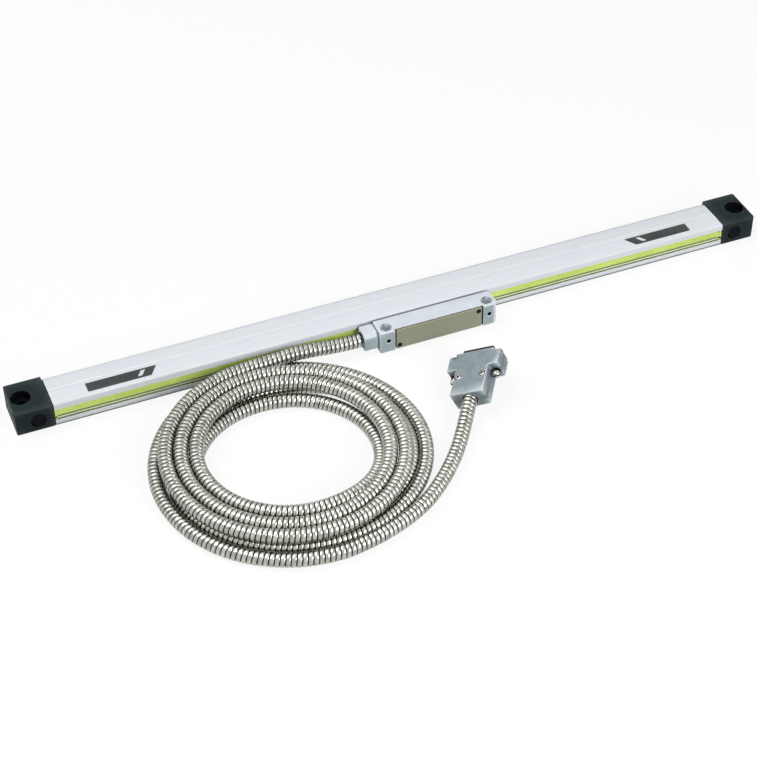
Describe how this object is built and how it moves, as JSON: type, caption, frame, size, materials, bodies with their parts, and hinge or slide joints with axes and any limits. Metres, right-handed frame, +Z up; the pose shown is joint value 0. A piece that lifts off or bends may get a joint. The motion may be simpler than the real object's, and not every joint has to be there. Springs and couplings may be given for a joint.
{
  "type": "linear glass scale",
  "caption": "Sealed slim linear encoder: aluminium scale housing with lime seal lips, sliding reading head, coiled armoured cable and D-sub plug.",
  "frame": {"origin": "centre of the housing's underside, midway between the two end caps", "axes": "+X along the scale towards the end away from the cable, +Y from the slot to the back, +Z up through the roof with the labels"},
  "size_m": [0.585, 0.2329, 0.032],
  "materials": {
    "anodised_aluminium": "clear satin anodised extrusion with fine lengthwise lines",
    "cap_black": "black anodised die casting, satin",
    "head_paint": "pale blue-grey powder coat, fine texture",
    "cover_olive": "olive-grey anodised plate, satin",
    "lip_lime": "lime elastomer, slightly translucent",
    "gasket_rubber": "black rubber, matt",
    "label_grey": "dark grey printed film, satin",
    "screw_black": "blackened steel",
    "bright_steel": "bright steel",
    "conduit_steel": "strip-wound stainless conduit, warm reflections",
    "ferrule_dark": "black crimped ring",
    "cable_black": "black moulded plastic",
    "hood_metal": "metal-coated hood, bluish grey, slightly rough",
    "shell_metal": "tin-plated steel",
    "contact_gold": "gilt contacts",
    "board_green": "green laminate with dark parts",
    "ribbon_amber": "amber film lead",
    "carriage_metal": "cast zinc-grey body, satin",
    "track_metal": "fine chromium graduations",
    "glass": "clear polished glass",
    "lamp_clear": "clear domed lamp body"
  },
  "bodies": {
    "scale": {"housing": "anodised_aluminium", "end_cap_left": "cap_black", "end_cap_right": "cap_black", "gasket_left": "gasket_rubber", "gasket_right": "gasket_rubber", "cap_screws": "screw_black", "glass_scale": "glass", "grating_track": "track_metal", "bond_strip": "gasket_rubber", "seal_lip_upper": "lip_lime", "seal_lip_lower": "lip_lime", "lip_retainers": "gasket_rubber", "label_left": "label_grey", "label_right": "label_grey"},
    "head": {"head_block": "head_paint", "head_cover": "cover_olive", "cover_gasket": "gasket_rubber", "cover_screws": "screw_black", "signal_board": "board_green", "board_screws": "bright_steel", "drive_blade": "bright_steel", "blade_screws": "bright_steel", "ribbon_lead": "ribbon_amber", "coupling_springs": "bright_steel", "carriage": "carriage_metal", "reticle": "glass", "lamp": "lamp_clear", "sensor_board": "board_green", "roller_pins": "bright_steel", "gland_block": "head_paint", "gland_seal": "gasket_rubber", "gland_screws": "screw_black", "ferrule": "ferrule_dark", "signal_cable": "cable_black", "conduit_lead": "conduit_steel", "conduit_coil": "conduit_steel", "conduit_tail": "conduit_steel", "hood_upper": "hood_metal", "hood_lower": "hood_metal", "plug_shell": "shell_metal", "plug_insulator": "cable_black", "plug_contacts": "contact_gold", "hood_screws": "bright_steel", "plug_ferrule": "gasket_rubber"},
    "edge_roller_left": {"roller_edge_left": "bright_steel"},
    "edge_roller_right": {"roller_edge_right": "bright_steel"},
    "face_roller_left": {"roller_face_left": "bright_steel"},
    "face_roller_right": {"roller_face_right": "bright_steel"},
    "left_jackscrew": {"jackscrew_left": "bright_steel"},
    "right_jackscrew": {"jackscrew_right": "bright_steel"}
  },
  "joints": [
    {"name": "head_slide", "type": "slide", "parent": "scale", "child": "head", "axis": [1, 0, 0], "range_m": [-0.2545, 0.2155]},
    {"name": "edge_left_roll", "type": "hinge", "parent": "head", "child": "edge_roller_left", "pos_m": [0.0105, 0.00395, 0.0054], "axis": [0, 1, 0], "range_deg": [-5900, 5900]},
    {"name": "edge_right_roll", "type": "hinge", "parent": "head", "child": "edge_roller_right", "pos_m": [0.0285, 0.00395, 0.0054], "axis": [0, 1, 0], "range_deg": [-5900, 5900]},
    {"name": "face_left_roll", "type": "hinge", "parent": "head", "child": "face_roller_left", "pos_m": [0.0025, 0.0001, 0.01015], "axis": [0, 0, 1], "range_deg": [-5900, 5900]},
    {"name": "face_right_roll", "type": "hinge", "parent": "head", "child": "face_roller_right", "pos_m": [0.0365, 0.0001, 0.01015], "axis": [0, 0, 1], "range_deg": [-5900, 5900]},
    {"name": "left_jackscrew_turn", "type": "hinge", "parent": "head", "child": "left_jackscrew", "pos_m": [0.00583, -0.09092, 0.00762], "axis": [0.5536, 0.8228, 0.1286], "continuous": true},
    {"name": "right_jackscrew_turn", "type": "hinge", "parent": "head", "child": "right_jackscrew", "pos_m": [0.02965, -0.1092, 0.02201], "axis": [0.5536, 0.8228, 0.1286], "continuous": true}
  ],
  "couplings": [
    {"joint": "edge_left_roll", "follows": "head_slide", "rad_per_m": -400},
    {"joint": "edge_right_roll", "follows": "head_slide", "rad_per_m": -400},
    {"joint": "face_left_roll", "follows": "head_slide", "rad_per_m": 400},
    {"joint": "face_right_roll", "follows": "head_slide", "rad_per_m": 400}
  ]
}
